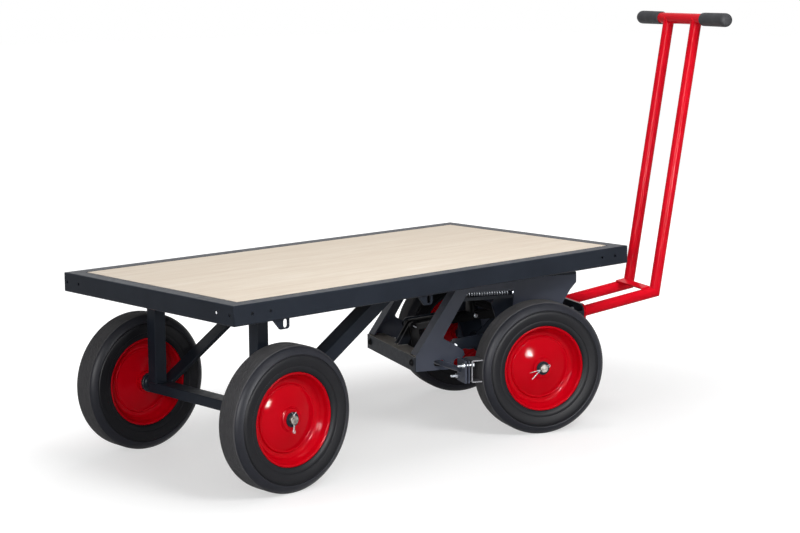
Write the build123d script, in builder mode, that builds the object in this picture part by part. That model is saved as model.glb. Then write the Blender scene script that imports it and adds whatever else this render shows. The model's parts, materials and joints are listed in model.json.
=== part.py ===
from build123d import *
import os
from math import cos, pi, radians, sin, sqrt, tan

# Turntable truck in millimetres: X forward to the handle, Y to the left, Z up from the floor.

# Deck
deck_length = 1536
deck_width = 785
deck_top = 535
rail_height = 55
rail_flange = 48
rail_lip = 18
rail_return = 15
rail_sheet = 3
rail_bend = 3.5
deck_corner = 6
board_thickness = 15
board_gap = 0.5
rack_hole = 9
rack_hole_drop = 26
rack_holes_long = (60, 120)
rack_holes_short = (18, 75)

# Underframe at the rear
wheel_radius = 200
axle_height = wheel_radius
rear_axle_x = 212.5
rear_track = 665
crossmember_width = 40
middle_crossmember_x = 683
middle_crossmember_width = 80
turntable_spread = 142
crossmember_reach = 386.5
tube_wall = 3
beam_width = 50
beam_x = rear_axle_x - 3
beam_bottom = 181
beam_top = 211
post_size = 38
post_x = beam_x - (beam_width - post_size) / 2
post_y = 234.5
beam_reach = post_y + post_size / 2
brace_leg = 40
brace_flange = 50
brace_sheet = 4
brace_slope = 33.4
brace_foot_x = 231
eye_front_edges = (190, 708)
eye_y = 381
eye_sheet = 5
eye_bottom = 452
eye_width = 56
eye_slant = 24
eye_hole = (23.4, 14)
eye_hole_back = 14
eye_hole_z = 467.5

# Wheels
tyre_half_width = 46
tread_half_width = 26
shoulder_radius = 180
bead_radius = 112
bead_inside = 19
bead_outside = 29.2
bead_gap = 0.2
tread_thickness = 11
wall_thickness = 8
wall_at_rim = 39
rim_lip_radius = 126
rim_half_width = 35
seat_half_width = 30.5
tyre_at_lip = 33.7
rim_sheet = 3
disc_out = 4.5
disc_flat_radius = 94
dome_middle = (62, 15.6)
dome_out = 22
hub_bore = 26
hub_radius = 31
hub_outer = 27
hub_inner = 42
hub_clearance = 0.5
bearing_width = 15
spindle = 12.5
fit = 0.05
washer_radius = 20.5
washer_thickness = 3
axle_end = 40
split_pin_at = 35
split_pin_hole = 5

# Turntable and steered bogie; the bogie's own datum lies ahead of the kingpin
kingpin_x = 1155.8
bogie_lead = 21.7
steering_shown = -21.5
front_axle_x = 129.7
front_track = 634
axle_radius = 15
plate_outside = 203
plate_sheet = 5
top_plate_bottom = 452
top_plate_top = 460
top_plate_rear = -76.5
top_plate_front = 310
top_plate_hole = 90
ring_outer = 205
ring_inner = 150
race_gap = 0.3
boss_radius = 43
channel_rear = -226.5
channel_front = -174
channel_bottom = 188.5
channel_top = 234.5
channel_lower_ledge = 30
channel_bolt = 12
channel_bolt_y = 176.5
channel_bolt_z = 213
bolt_clearance = 0.3
bolt_head = 0.88
rear_fold = 40
pivot_x = -157.5
pivot_z = 293
pivot_radius = 6

# Drawbar
sleeve_radius = 21
sleeve_reach = 175
cheek_inside = 99
cheek_outside = 107
web_rear = 381.5
web_front = 387.5
web_bottom = 285
web_top = 336
base_plate_front = 393.5
lift_bar_x = 196
lift_bar_z = 285
lift_bar_radius = 8
handle_tube = 17.5
handle_wall = 2.5
handle_gauge = 87
handle_start = (392.5, 311.6)
handle_corner = (647.8, 357)
handle_top = (783.6, 1220.6)
grip_start = 133.5
grip_end = 254.5
grip_radius = 21
strip_x = 619
strip_width = 30
strip_thick = 5

# Brake and return springs
brake_bar_x = -145
brake_bar_z = 210
brake_bar_radius = 8
shoe_back = -103.5
shoe_bottom = 174
shoe_top = 241.5
shoe_length = 60
shoe_gap = 0.4
end_plate = 6
end_stack = 20.5
rocker_inside = 20
rocker_outside = 26
spring_y = 184
spring_rear = (-76, 412.5)
spring_front = (105, 408)
spring_radius = 6.2
spring_wire = 2.5
spring_turns = 17
peg_radius = 5

# The part's origin is under the middle of its box, so the deck's rear edge sits back and to the left of it.
steer = radians(steering_shown)
reach_ahead = bogie_lead + handle_top[0]
reach_x = kingpin_x + reach_ahead * cos(steer) - grip_end * sin(steer) + grip_radius
reach_right = -reach_ahead * sin(steer) + grip_end * cos(steer) + grip_radius
deck_rear_x = -reach_x / 2
centre_y = (reach_right - deck_width / 2) / 2
truck = Plane(origin=(deck_rear_x, centre_y, 0))
bogie = Plane(
    origin=(
        deck_rear_x + kingpin_x + bogie_lead * cos(steer),
        centre_y + bogie_lead * sin(steer),
        0,
    ),
    x_dir=(cos(steer), sin(steer), 0),
    z_dir=(0, 0, 1),
)
kingpin = Axis((deck_rear_x + kingpin_x, centre_y, 0), (0, 0, 1))
sides = (("left", 1), ("right", -1))
rail_bottom = deck_top - rail_height
board_bottom = deck_top - board_thickness
crossmember_bottom = rail_bottom + rail_sheet

os.makedirs("parts", exist_ok=True)


def write(piece, label):
    piece.part.label = label
    export_step(piece.part, f"parts/{label}.step")


# Sketch planes of a frame: seen from its right side, from above, and from behind
def side_view(frame, y=0):
    return Plane(frame.from_local_coords((0, y, 0)), x_dir=frame.x_dir, z_dir=-frame.y_dir)


def plan_view(frame, z=0):
    return Plane(frame.from_local_coords((0, 0, z)), x_dir=frame.x_dir, z_dir=frame.z_dir)


def rear_view(frame, x=0):
    return Plane(frame.from_local_coords((x, 0, 0)), x_dir=frame.y_dir, z_dir=frame.x_dir)


# Radius runs upwards and the sketch's Y runs outwards along a cross axle
def axle_section(frame, x, z, y=0, side=1):
    origin = frame.from_local_coords((x, y, z))
    return Plane(origin, x_dir=frame.z_dir, z_dir=-side * frame.x_dir)


def cross_axis(frame, x, z):
    return Axis(frame.from_local_coords((x, 0, z)), frame.y_dir)


# Deck board and its four mitred rails
with BuildPart() as board:
    with BuildSketch(plan_view(truck, board_bottom)):
        with Locations((deck_length / 2, 0)):
            inset = 2 * (rail_flange + board_gap)
            Rectangle(deck_length - inset, deck_width - inset)
    extrude(amount=board_thickness)
write(board, "deck_board")

half_deck = deck_width / 2
rails = (
    ("right", (0, -half_deck), (1, 0, 0), deck_length, rack_holes_long),
    ("front", (deck_length, -half_deck), (0, 1, 0), deck_width, rack_holes_short),
    ("left", (deck_length, half_deck), (-1, 0, 0), deck_length, rack_holes_long),
    ("rear", (0, half_deck), (0, -1, 0), deck_width, rack_holes_short),
)
for name, corner, along, length, holes in rails:
    run = Vector(*along)
    inward = Vector(0, 0, 1).cross(run)
    start = truck.from_local_coords((*corner, 0))
    top = truck.from_local_coords((*corner, deck_top))
    with BuildPart() as rail:
        with BuildSketch(Plane(top, x_dir=inward, z_dir=run)):
            with BuildLine():
                FilletPolyline(
                    (rail_lip, rail_sheet / 2 - rail_height),
                    (rail_sheet / 2, rail_sheet / 2 - rail_height),
                    (rail_sheet / 2, -rail_sheet / 2),
                    (rail_flange - rail_sheet / 2, -rail_sheet / 2),
                    (rail_flange - rail_sheet / 2, -rail_return),
                    radius=rail_bend,
                )
            trace(line_width=rail_sheet)
        extrude(amount=length)
        with BuildSketch(Plane(start, x_dir=run, z_dir=(0, 0, 1))):
            with BuildLine():
                mitre = rail_flange + rail_lip
                Polyline((0, 0), (length, 0), (length - mitre, mitre), (mitre, mitre), close=True)
            make_face()
        extrude(amount=deck_top + rail_height, mode=Mode.INTERSECT)
        with BuildSketch(plan_view(truck)):
            with Locations((deck_length / 2, 0)):
                RectangleRounded(deck_length, deck_width, deck_corner)
        extrude(amount=deck_top + rail_height, mode=Mode.INTERSECT)
        with BuildSketch(Plane(top, x_dir=run, z_dir=-inward)):
            with Locations(*[(hole, -rack_hole_drop) for hole in holes]):
                Circle(rack_hole / 2)
            with Locations(*[(length - hole, -rack_hole_drop) for hole in holes]):
                Circle(rack_hole / 2)
        extrude(amount=-rail_sheet, mode=Mode.SUBTRACT)
    write(rail, f"deck_rail_{name}")


# Crossmembers are rectangular tubes from rail to rail, under the board
def crossmember(label, places, width):
    height = board_bottom - crossmember_bottom
    with BuildPart() as tube:
        with BuildSketch(side_view(truck, crossmember_reach)):
            with Locations(*[(x, crossmember_bottom + height / 2) for x in places]):
                Rectangle(width, height)
                Rectangle(width - 2 * tube_wall, height - 2 * tube_wall, mode=Mode.SUBTRACT)
        extrude(amount=2 * crossmember_reach)
    write(tube, label)


turntable_places = (kingpin_x - turntable_spread, kingpin_x + turntable_spread)
crossmember("rear_crossmember", (rear_axle_x,), crossmember_width)
crossmember("middle_crossmember", (middle_crossmember_x,), middle_crossmember_width)
crossmember("turntable_crossmembers", turntable_places, crossmember_width)

# Rear beam, posts and braces
with BuildPart() as beam:
    with BuildSketch(side_view(truck, beam_reach)):
        with Locations((beam_x, (beam_bottom + beam_top) / 2)):
            beam_height = beam_top - beam_bottom
            Rectangle(beam_width, beam_height)
            Rectangle(beam_width - 2 * tube_wall, beam_height - 2 * tube_wall, mode=Mode.SUBTRACT)
    extrude(amount=2 * beam_reach)
write(beam, "rear_axle_beam")

for name, side in sides:
    with BuildPart() as post:
        with BuildSketch(plan_view(truck, beam_top)):
            with Locations((post_x, side * post_y)):
                Rectangle(post_size, post_size)
                Rectangle(post_size - 2 * tube_wall, post_size - 2 * tube_wall, mode=Mode.SUBTRACT)
        extrude(amount=crossmember_bottom - beam_top)
    write(post, f"rear_post_{name}")

slope = tan(radians(brace_slope))
leg_drop = brace_leg / cos(radians(brace_slope))
fold_drop = brace_sheet / cos(radians(brace_slope))
foot_x = beam_x + beam_width / 2
foot_z = beam_top + (foot_x - brace_foot_x) * slope
head_x = foot_x + (crossmember_bottom - foot_z) / slope
for name, side in sides:
    with BuildPart() as brace:
        with BuildSketch(side_view(truck, side * beam_reach)):
            with BuildLine():
                Polyline(
                    (foot_x, foot_z),
                    (head_x, crossmember_bottom),
                    (head_x + leg_drop / slope, crossmember_bottom),
                    (foot_x + (beam_bottom - foot_z + leg_drop) / slope, beam_bottom),
                    (foot_x, beam_bottom),
                    close=True,
                )
            make_face()
        extrude(amount=-side * brace_sheet)
        with BuildSketch(side_view(truck, side * beam_reach)):
            with BuildLine():
                Polyline(
                    (foot_x, foot_z),
                    (head_x, crossmember_bottom),
                    (head_x + fold_drop / slope, crossmember_bottom),
                    (foot_x, foot_z - fold_drop),
                    close=True,
                )
            make_face()
        extrude(amount=side * (brace_flange - brace_sheet))
    write(brace, f"rear_brace_{name}")

# Lashing eyes hang under the long rails
with BuildPart() as eyes:
    for name, side in sides:
        with BuildSketch(side_view(truck, side * eye_y + eye_sheet / 2)):
            for front in eye_front_edges:
                rear = front - eye_width
                with BuildLine():
                    FilletPolyline(
                        (front, rail_bottom),
                        (front, eye_bottom),
                        (rear + eye_slant, eye_bottom),
                        (rear, rail_bottom),
                        radius=eye_slant / 3,
                    )
                    Line((rear, rail_bottom), (front, rail_bottom))
                make_face()
                with Locations((front - eye_hole_back, eye_hole_z)):
                    SlotOverall(*eye_hole, rotation=90, mode=Mode.SUBTRACT)
        extrude(amount=eye_sheet)
write(eyes, "lashing_eyes")


# Washers outside the hubs, one pair on each axle
def axle_washers(label, frame, x, track):
    with BuildPart() as washers:
        for name, side in sides:
            with BuildSketch(side_view(frame, side * (track / 2 + hub_outer + hub_clearance))):
                with Locations((x, axle_height)):
                    Circle(washer_radius)
                    Circle(spindle + fit, mode=Mode.SUBTRACT)
            extrude(amount=-side * washer_thickness)
    write(washers, label)


# Half an axle's section, given as (radius, distance out) steps from its inner end
def axle_profile(frame, x, steps, side):
    with BuildSketch(axle_section(frame, x, axle_height, side=side)) as profile:
        with BuildLine():
            Polyline((0, steps[0][1]), *steps, (0, steps[-1][1]), close=True)
        make_face()
    return profile.sketch


# Split pin holes through both ends of an axle, on a plane through its middle
def split_pin_holes(plane, places):
    with BuildSketch(plane) as holes:
        with Locations(*places):
            Circle(split_pin_hole / 2)
    return holes.sketch


# Rear stub axles: neck on the beam's end, collar, spindle
neck_radius = 18
collar_radius = 28
collar_width = 9
spindle_chamfer = 1.5
rear_hub = rear_track / 2 - hub_inner - hub_clearance
rear_end = rear_track / 2 + axle_end
rear_steps = (
    (neck_radius, beam_reach),
    (neck_radius, rear_hub - collar_width),
    (collar_radius, rear_hub - collar_width),
    (collar_radius, rear_hub),
    (spindle, rear_hub),
    (spindle, rear_end - spindle_chamfer),
    (spindle - spindle_chamfer, rear_end),
)
rear_pin_y = rear_track / 2 + split_pin_at
rear_pins = ((rear_axle_x, rear_pin_y), (rear_axle_x, -rear_pin_y))
with BuildPart() as stubs:
    for name, side in sides:
        revolve(
            axle_profile(truck, rear_axle_x, rear_steps, side),
            axis=cross_axis(truck, rear_axle_x, axle_height),
        )
    extrude(
        split_pin_holes(plan_view(truck, axle_height), rear_pins),
        amount=spindle + 1,
        both=True,
        mode=Mode.SUBTRACT,
    )
write(stubs, "rear_stub_axles")
axle_washers("rear_axle_washers", truck, rear_axle_x, rear_track)


# Wheels: tyre, pressed rim with hub, and two bearings each
def wheel(name, frame, x, track, side):
    section = axle_section(frame, x, axle_height, side * track / 2, side)
    axis = cross_axis(frame, x, axle_height)
    seat = bead_radius - rim_sheet / 2 - bead_gap
    with BuildPart() as tyre:
        with BuildSketch(section):
            with BuildLine():
                for face in (1, -1):
                    Polyline(
                        (wheel_radius - tread_thickness, 0),
                        (wheel_radius - tread_thickness, face * (tread_half_width + 2)),
                        (shoulder_radius - 2, face * (tyre_half_width - wall_thickness)),
                        (rim_lip_radius + 5, face * (wall_at_rim - wall_thickness)),
                        (bead_radius, face * bead_inside),
                        (bead_radius, face * bead_outside),
                        (rim_lip_radius + 2, face * tyre_at_lip),
                        (rim_lip_radius + 5, face * wall_at_rim),
                        (shoulder_radius, face * tyre_half_width),
                    )
                    RadiusArc(
                        (shoulder_radius, face * tyre_half_width),
                        (wheel_radius, face * tread_half_width),
                        face * (tyre_half_width - tread_half_width),
                    )
                    Line((wheel_radius, face * tread_half_width), (wheel_radius, 0))
            make_face()
        revolve(axis=axis)
    write(tyre, f"tyre_{name}")

    with BuildPart() as rim:
        with BuildSketch(section):
            with BuildLine():
                Polyline(
                    (rim_lip_radius, rim_half_width),
                    (seat, seat_half_width),
                    (seat, -seat_half_width),
                    (rim_lip_radius, -rim_half_width),
                )
            trace(line_width=rim_sheet)
            for face in (1, -1):
                with BuildLine():
                    flat = Line((seat, face * disc_out), (disc_flat_radius, face * disc_out))
                    dome = (dome_middle[0], face * dome_middle[1])
                    ThreePointArc(flat @ 1, dome, (hub_radius - 1, face * dome_out))
                trace(line_width=rim_sheet)
            with Locations(((hub_bore + fit + hub_radius) / 2, (hub_outer - hub_inner) / 2)):
                Rectangle(hub_radius - hub_bore - fit, hub_outer + hub_inner)
        revolve(axis=axis)
    write(rim, f"rim_{name}")

    with BuildPart() as bearings:
        with BuildSketch(section):
            for middle in (hub_outer - bearing_width / 2, bearing_width / 2 - hub_inner):
                with Locations(((hub_bore + spindle + fit) / 2, middle)):
                    Rectangle(hub_bore - spindle - fit, bearing_width)
        revolve(axis=axis)
    write(bearings, f"bearings_{name}")


for name, side in sides:
    wheel(f"rear_{name}", truck, rear_axle_x, rear_track, side)
    wheel(f"front_{name}", bogie, front_axle_x, front_track, side)

# Slewing ring: the lower half sits inside the skirt of the upper one, and the balls run between them
ring_split = (top_plate_top + crossmember_bottom) / 2
skirt = 7
ring_step = 4
with BuildPart() as upper_ring:
    with BuildSketch(axle_section(truck, kingpin_x, 0)):
        with BuildLine():
            Polyline(
                (crossmember_bottom, ring_inner + skirt),
                (crossmember_bottom, ring_outer),
                (top_plate_top + ring_step, ring_outer),
                (top_plate_top + ring_step, ring_outer - skirt),
                (ring_split + race_gap, ring_outer - skirt),
                (ring_split + race_gap, ring_inner + skirt),
                close=True,
            )
        make_face()
    revolve(axis=kingpin)
write(upper_ring, "slewing_ring_upper")

with BuildPart() as lower_ring:
    with BuildSketch(axle_section(truck, kingpin_x, 0)):
        with BuildLine():
            Polyline(
                (top_plate_top, ring_inner),
                (crossmember_bottom - ring_step, ring_inner),
                (crossmember_bottom - ring_step, ring_inner + skirt - race_gap),
                (ring_split, ring_inner + skirt - race_gap),
                (ring_split, ring_outer - skirt - race_gap),
                (top_plate_top, ring_outer - skirt - race_gap),
                close=True,
            )
        make_face()
    revolve(axis=kingpin)
write(lower_ring, "slewing_ring_lower")

with BuildPart() as top_plate:
    with BuildSketch(plan_view(bogie, top_plate_bottom)):
        with Locations(((top_plate_rear + top_plate_front) / 2, 0)):
            Rectangle(top_plate_front - top_plate_rear, 2 * plate_outside)
        with Locations((-bogie_lead, 0)):
            Circle(top_plate_hole, mode=Mode.SUBTRACT)
    extrude(amount=top_plate_top - top_plate_bottom)
write(top_plate, "bogie_top_plate")

# Side plates: rear leg with a foot and a nose, window, front lobe down to the axle
leg_foot = (channel_rear + plate_sheet, 236.5)
leg_top = (top_plate_rear, top_plate_bottom)
foot_bottom = 189
lobe_front = ((260, 360.5), (289, 405), (top_plate_front, 428))
foot_front = ((-102, foot_bottom), (-98, 218))
nose = ((-63, 224.5), (-67, 243.5), (-110, 271))
window_rear = ((-135, 285), (-53, 418))
window_front = ((102, 417.5), (front_axle_x - boss_radius, 240))
window_corner = 8
slot_ends = (-155.5, -139.5)
slot_radius = 9.5
fold_gap = 3
peg_overhang = 8
for name, side in sides:
    with BuildPart() as side_plate:
        with BuildSketch(side_view(bogie, side * plate_outside)):
            with BuildLine():
                front = Polyline(
                    (front_axle_x + boss_radius, axle_height),
                    *lobe_front,
                    (top_plate_front, top_plate_bottom),
                    leg_top,
                    leg_foot,
                    (leg_foot[0], foot_bottom),
                )
                foot = FilletPolyline(
                    front @ 1,
                    *foot_front,
                    *nose,
                    *window_rear,
                    *window_front,
                    (front_axle_x - boss_radius, axle_height),
                    radius=window_corner,
                )
                RadiusArc(foot @ 1, front @ 0, -boss_radius)
            make_face()
            with Locations((front_axle_x, axle_height)):
                Circle(axle_radius + fit, mode=Mode.SUBTRACT)
            with Locations(((slot_ends[0] + slot_ends[1]) / 2, brake_bar_z)):
                SlotCenterToCenter(slot_ends[1] - slot_ends[0], 2 * slot_radius, mode=Mode.SUBTRACT)
        extrude(amount=side * plate_sheet)
        lean = (leg_top[0] - leg_foot[0]) / (leg_top[1] - leg_foot[1])
        fold_thick = plate_sheet * sqrt(1 + lean * lean)
        fold_z = channel_top + fold_gap
        fold_x = leg_foot[0] + (fold_z - leg_foot[1]) * lean
        with BuildSketch(side_view(bogie, side * (plate_outside - plate_sheet))):
            with BuildLine():
                Polyline(
                    leg_top,
                    (fold_x, fold_z),
                    (fold_x + fold_thick, fold_z),
                    (leg_top[0] + fold_thick, leg_top[1]),
                    close=True,
                )
            make_face()
            fold_bottom = channel_bottom + plate_sheet
            fold_top = channel_top - plate_sheet - fold_gap
            with Locations((leg_foot[0] + plate_sheet / 2, (fold_bottom + fold_gap + fold_top) / 2)):
                Rectangle(plate_sheet, fold_top - fold_bottom - fold_gap)
        extrude(amount=side * rear_fold)
        with BuildSketch(rear_view(bogie, leg_foot[0])):
            with Locations((side * channel_bolt_y, channel_bolt_z)):
                Circle(channel_bolt / 2 + bolt_clearance)
        extrude(amount=plate_sheet, mode=Mode.SUBTRACT)
        with BuildSketch(side_view(bogie, side * (plate_outside - plate_sheet))):
            with Locations(spring_rear):
                Circle(peg_radius)
        extrude(amount=side * (plate_outside - plate_sheet - spring_y + peg_overhang))
    write(side_plate, f"bogie_side_plate_{name}")

# Rear channel with the lugs that carry the brake pivot
lug_inside = 9
lug_outside = 17
lug_radius = 12
lug_base = (channel_rear + 19, channel_front - 1)
with BuildPart() as channel:
    with BuildSketch(side_view(bogie, plate_outside)):
        with Locations((channel_rear + plate_sheet / 2, (channel_bottom + channel_top) / 2)):
            Rectangle(plate_sheet, channel_top - channel_bottom)
    extrude(amount=2 * plate_outside)
    ledge_reach = plate_outside - plate_sheet - race_gap
    with BuildSketch(side_view(bogie, ledge_reach)):
        with Locations(((channel_rear + channel_front) / 2, channel_top - plate_sheet / 2)):
            Rectangle(channel_front - channel_rear, plate_sheet)
        with Locations((channel_rear + channel_lower_ledge / 2, channel_bottom + plate_sheet / 2)):
            Rectangle(channel_lower_ledge, plate_sheet)
    extrude(amount=2 * ledge_reach)
    for side in (1, -1):
        with BuildSketch(side_view(bogie, side * lug_outside)):
            with BuildLine():
                Line((lug_base[0], channel_top), (lug_base[1], channel_top))
                CenterArc((pivot_x, pivot_z), lug_radius, 0, 360)
            make_hull()
            with Locations((pivot_x, pivot_z)):
                Circle(pivot_radius + fit, mode=Mode.SUBTRACT)
        extrude(amount=side * (lug_outside - lug_inside))
    with BuildSketch(rear_view(bogie, channel_rear)):
        with Locations((channel_bolt_y, channel_bolt_z), (-channel_bolt_y, channel_bolt_z)):
            Circle(channel_bolt / 2 + bolt_clearance)
    extrude(amount=plate_sheet, mode=Mode.SUBTRACT)
write(channel, "bogie_rear_channel")


# Bolts along a frame's X, from the face under the head to the face under the nut and a tail beyond it
def cross_bolts(label, places, head_face, nut_face, thread, tail):
    way = 1 if nut_face > head_face else -1
    with BuildPart() as bolts:
        for y, z in places:
            for start, length, hexagon in (
                (head_face, -0.65 * thread, True),
                (head_face, abs(nut_face - head_face) + tail, False),
                (nut_face, 0.8 * thread, True),
            ):
                with BuildSketch(rear_view(bogie, start)):
                    with Locations((y, z)):
                        if hexagon:
                            RegularPolygon(bolt_head * thread, 6)
                        else:
                            Circle(thread / 2)
                extrude(amount=way * length)
    write(bolts, label)


channel_bolt_tail = 14
cross_bolts(
    "channel_bolts",
    ((channel_bolt_y, channel_bolt_z), (-channel_bolt_y, channel_bolt_z)),
    channel_rear,
    leg_foot[0] + plate_sheet,
    channel_bolt,
    channel_bolt_tail,
)

# Front axle with collars between the side plates and the hubs
front_hub = front_track / 2 - hub_inner - hub_clearance
front_end = front_track / 2 + axle_end
front_steps = (
    (axle_radius, 0),
    (axle_radius, plate_outside + race_gap),
    (sleeve_radius, plate_outside + race_gap),
    (sleeve_radius, front_hub),
    (spindle, front_hub),
    (spindle, front_end - spindle_chamfer),
    (spindle - spindle_chamfer, front_end),
)
front_pin_y = front_track / 2 + split_pin_at
front_pins = ((front_pin_y, axle_height), (-front_pin_y, axle_height))
with BuildPart() as front_axle:
    for name, side in sides:
        revolve(
            axle_profile(bogie, front_axle_x, front_steps, side),
            axis=cross_axis(bogie, front_axle_x, axle_height),
        )
    extrude(
        split_pin_holes(rear_view(bogie, front_axle_x), front_pins),
        amount=spindle + 1,
        both=True,
        mode=Mode.SUBTRACT,
    )
write(front_axle, "front_axle")
axle_washers("front_axle_washers", bogie, front_axle_x, front_track)

# Bars across the windows, welded inside the side plates
tie_rear = (-91.5, 262)
tie_front = (113.5, 278.5)
tie_height = 35
tie_thick = 8
stay_rear = -65
stay_front = 115
stay_bottom = 392
stay_height = 10
stay_thick = 5
plate_inside = plate_outside - plate_sheet
with BuildPart() as tie_bars:
    for name, side in sides:
        with BuildSketch(side_view(bogie, side * plate_inside)):
            with BuildLine():
                CenterArc(tie_rear, tie_height / 2, 0, 360)
                CenterArc(tie_front, tie_height / 2, 0, 360)
            make_hull()
        extrude(amount=side * tie_thick)
        with BuildSketch(side_view(bogie, side * plate_inside)):
            with Locations(((stay_rear + stay_front) / 2, stay_bottom + stay_height / 2)):
                Rectangle(stay_front - stay_rear, stay_height)
        extrude(amount=side * stay_thick)
write(tie_bars, "window_tie_bars")

pin_reach = rocker_outside + 5
pin_collar = 7.5
pin_collar_face = rocker_outside + 3
with BuildPart() as pivot_pin:
    with BuildSketch(side_view(bogie, pin_reach)):
        with Locations((pivot_x, pivot_z)):
            Circle(pivot_radius)
    extrude(amount=2 * pin_reach)
    for side in (1, -1):
        with BuildSketch(side_view(bogie, side * pin_collar_face)):
            with Locations((pivot_x, pivot_z)):
                Circle(pin_collar)
        extrude(amount=side * (pin_collar_face - rocker_outside - race_gap))
write(pivot_pin, "brake_pivot_pin")

# Drawbar: sleeve on the axle, cheeks to the web, horns for the springs, bar that lifts the rocker
with BuildPart() as sleeve:
    with BuildSketch(side_view(bogie, sleeve_reach)):
        with Locations((front_axle_x, axle_height)):
            Circle(sleeve_radius)
            Circle(axle_radius + fit, mode=Mode.SUBTRACT)
    extrude(amount=2 * sleeve_reach)
write(sleeve, "drawbar_sleeve")

cheek_hub = 36
cheek_ear = 14
cheek_top = web_top - 20
with BuildPart() as cheeks:
    for name, side in sides:
        with BuildSketch(side_view(bogie, side * cheek_outside)):
            with BuildLine():
                CenterArc((front_axle_x, axle_height), cheek_hub, 0, 360)
                CenterArc((lift_bar_x, lift_bar_z), cheek_ear, 0, 360)
                Line((web_rear, web_bottom), (web_rear, cheek_top))
            make_hull()
            with Locations((front_axle_x, axle_height)):
                Circle(sleeve_radius + fit, mode=Mode.SUBTRACT)
        extrude(amount=side * (cheek_outside - cheek_inside))
write(cheeks, "drawbar_cheeks")

with BuildPart() as lift_bar:
    with BuildSketch(side_view(bogie, cheek_inside)):
        with Locations((lift_bar_x, lift_bar_z)):
            Circle(lift_bar_radius)
    extrude(amount=2 * cheek_inside)
write(lift_bar, "brake_lift_bar")

horn_outside = 173
horn_sheet = 6
horn_hub = 34
horn_tip = 14
horn_back = (53, 374)
with BuildPart() as horns:
    for name, side in sides:
        with BuildSketch(side_view(bogie, side * horn_outside)):
            with BuildLine():
                CenterArc((front_axle_x, axle_height), horn_hub, 0, 360)
                CenterArc(spring_front, horn_tip, 0, 360)
                CenterArc(horn_back, horn_tip, 0, 360)
            make_hull()
            with Locations((front_axle_x, axle_height)):
                Circle(sleeve_radius + fit, mode=Mode.SUBTRACT)
        extrude(amount=side * horn_sheet)
        with BuildSketch(side_view(bogie, side * horn_outside)):
            with Locations(spring_front):
                Circle(peg_radius)
        extrude(amount=-side * (spring_y + peg_overhang - horn_outside))
write(horns, "spring_horns")

bolt_y = 40
bolt_z = (web_bottom + web_top) / 2
base_bolt = 10
base_bolt_tail = 12
base_bolt_places = ((bolt_y, bolt_z), (-bolt_y, bolt_z))
web_corner = 22
for label, back, front in (
    ("drawbar_web", web_rear, web_front),
    ("handle_base_plate", web_front, base_plate_front),
):
    with BuildPart() as plate:
        with BuildSketch(rear_view(bogie, back)):
            with BuildLine():
                FilletPolyline(
                    (-cheek_outside, web_bottom),
                    (-cheek_outside, web_top),
                    (cheek_outside, web_top),
                    (cheek_outside, web_bottom),
                    radius=web_corner,
                )
                Line((cheek_outside, web_bottom), (-cheek_outside, web_bottom))
            make_face()
            with Locations(*base_bolt_places):
                Circle(base_bolt / 2 + bolt_clearance, mode=Mode.SUBTRACT)
        extrude(amount=front - back)
    write(plate, label)
cross_bolts(
    "base_plate_bolts",
    base_bolt_places,
    web_rear,
    base_plate_front,
    base_bolt,
    base_bolt_tail,
)


# Handle tubes are mitred at the corner, and the uprights are coped to the crossbar
def bogie_point(x, z, y):
    return bogie.from_local_coords((x, y, z))


def bogie_way(start, end):
    return bogie_point(*end, 0) - bogie_point(*start, 0)


low_way = bogie_way(handle_start, handle_corner)
up_way = bogie_way(handle_corner, handle_top)
low_unit = low_way.normalized()
up_unit = up_way.normalized()
tube_overrun = 2 * handle_tube


def ring_sketch():
    Circle(handle_tube)
    Circle(handle_tube - handle_wall, mode=Mode.SUBTRACT)


for name, side in sides:
    corner = bogie_point(*handle_corner, side * handle_gauge)
    mitre = Plane(corner, z_dir=low_unit + up_unit)
    with BuildPart() as lower_tube:
        begin = bogie_point(*handle_start, side * handle_gauge) - low_unit * tube_overrun
        with BuildSketch(Plane(begin, z_dir=low_unit)):
            ring_sketch()
        extrude(amount=low_way.length + 2 * tube_overrun)
        split(bisect_by=rear_view(bogie, base_plate_front), keep=Keep.TOP)
        split(bisect_by=mitre, keep=Keep.BOTTOM)
    write(lower_tube, f"handle_lower_tube_{name}")

    with BuildPart() as upright:
        with BuildSketch(Plane(corner - up_unit * tube_overrun, z_dir=up_unit)):
            ring_sketch()
        extrude(amount=up_way.length + tube_overrun)
        split(bisect_by=mitre, keep=Keep.TOP)
        with BuildSketch(side_view(bogie, side * (handle_gauge + tube_overrun))):
            with Locations(handle_top):
                Circle(handle_tube)
        extrude(amount=side * 2 * tube_overrun, mode=Mode.SUBTRACT)
    write(upright, f"handle_upright_{name}")

with BuildPart() as crossbar:
    with BuildSketch(side_view(bogie, grip_end)):
        with Locations(handle_top):
            ring_sketch()
    extrude(amount=2 * grip_end)
write(crossbar, "handle_crossbar")

for name, side in sides:
    grip_plane = axle_section(bogie, *handle_top, 0, side)
    with BuildPart() as grip:
        with BuildSketch(grip_plane):
            with BuildLine():
                sleeve_line = Polyline(
                    (0, grip_end + race_gap),
                    (handle_tube + fit, grip_end + race_gap),
                    (handle_tube + fit, grip_start),
                    (grip_radius, grip_start),
                    (grip_radius, grip_end),
                )
                RadiusArc(sleeve_line @ 1, (0, grip_end + grip_radius), -grip_radius)
                Line((0, grip_end + grip_radius), sleeve_line @ 0)
            make_face()
        revolve(axis=cross_axis(bogie, *handle_top))
    write(grip, f"grip_{name}")

low_rise = (handle_corner[1] - handle_start[1]) / (handle_corner[0] - handle_start[0])
strip_z = handle_start[1] + (strip_x - handle_start[0]) * low_rise
with BuildPart() as strip:
    with BuildSketch(Plane(bogie_point(strip_x, strip_z, handle_gauge), x_dir=low_unit, z_dir=-bogie.y_dir)):
        with Locations((0, handle_tube + strip_thick / 2)):
            Rectangle(strip_width, strip_thick)
    extrude(amount=2 * handle_gauge)
write(strip, "handle_brace_strip")

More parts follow.
